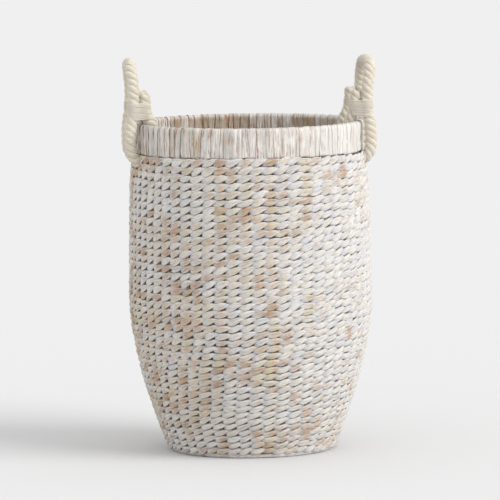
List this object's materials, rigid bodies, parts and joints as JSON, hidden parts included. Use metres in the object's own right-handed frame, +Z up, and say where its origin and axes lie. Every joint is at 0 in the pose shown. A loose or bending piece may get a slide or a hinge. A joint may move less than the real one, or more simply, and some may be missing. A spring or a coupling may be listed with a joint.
{
  "type": "seagrass storage basket",
  "caption": "Tall round storage basket of whitewashed twined seagrass with a leaf-wrapped rim and two upright rope handles.",
  "frame": {"origin": "middle of the base, on the floor", "axes": "+Z up, front towards -Y, handles at -X and +X"},
  "size_m": [0.4016, 0.39, 0.6288],
  "materials": {
    "seagrass": "whitewashed twined seagrass, matt",
    "base_seagrass": "twined seagrass, matt",
    "stake_cane": "peeled cane",
    "hoop_wood": "bare split cane hoop",
    "rim_leaf": "flat dried leaf strips, whitewashed",
    "cotton_rope": "undyed twisted cotton rope",
    "whipping_cord": "undyed cotton twine"
  },
  "bodies": {
    "basket": {"base_mat": "base_seagrass", "base_binding": "base_seagrass", "warp_stakes": "stake_cane", "weave_course_01": "seagrass", "weave_course_02": "seagrass", "weave_course_03": "seagrass", "weave_course_04": "seagrass", "weave_course_05": "seagrass", "weave_course_06": "seagrass", "weave_course_07": "seagrass", "weave_course_08": "seagrass", "weave_course_09": "seagrass", "weave_course_10": "seagrass", "weave_course_11": "seagrass", "weave_course_12": "seagrass", "weave_course_13": "seagrass", "weave_course_14": "seagrass", "weave_course_15": "seagrass", "weave_course_16": "seagrass", "weave_course_17": "seagrass", "weave_course_18": "seagrass", "weave_course_19": "seagrass", "weave_course_20": "seagrass", "weave_course_21": "seagrass", "weave_course_22": "seagrass", "weave_course_23": "seagrass", "weave_course_24": "seagrass", "weave_course_25": "seagrass", "weave_course_26": "seagrass", "weave_course_27": "seagrass", "weave_course_28": "seagrass", "weave_course_29": "seagrass", "weave_course_30": "seagrass", "weave_course_31": "seagrass", "weave_course_32": "seagrass", "weave_course_33": "seagrass", "weave_course_34": "seagrass", "weave_course_35": "seagrass", "weave_course_36": "seagrass", "weave_course_37": "seagrass", "weave_course_38": "seagrass", "weave_course_39": "seagrass", "weave_course_40": "seagrass", "weave_course_41": "seagrass", "weave_course_42": "seagrass", "rim_hoop": "hoop_wood", "rim_wrap": "rim_leaf", "left_front_rope_end": "cotton_rope", "left_front_whipping": "whipping_cord", "left_rear_rope_end": "cotton_rope", "left_rear_whipping": "whipping_cord", "right_front_rope_end": "cotton_rope", "right_front_whipping": "whipping_cord", "right_rear_rope_end": "cotton_rope", "right_rear_whipping": "whipping_cord"},
    "left_handle": {"left_handle_loop": "cotton_rope"},
    "right_handle": {"right_handle_loop": "cotton_rope"}
  },
  "joints": [
    {"name": "left_handle_fold", "type": "hinge", "parent": "basket", "child": "left_handle", "pos_m": [-0.18546, 0, 0.582], "axis": [0, -1, 0], "range_deg": [-80, 84]},
    {"name": "right_handle_fold", "type": "hinge", "parent": "basket", "child": "right_handle", "pos_m": [0.18546, 0, 0.582], "axis": [0, 1, 0], "range_deg": [-80, 84]}
  ]
}
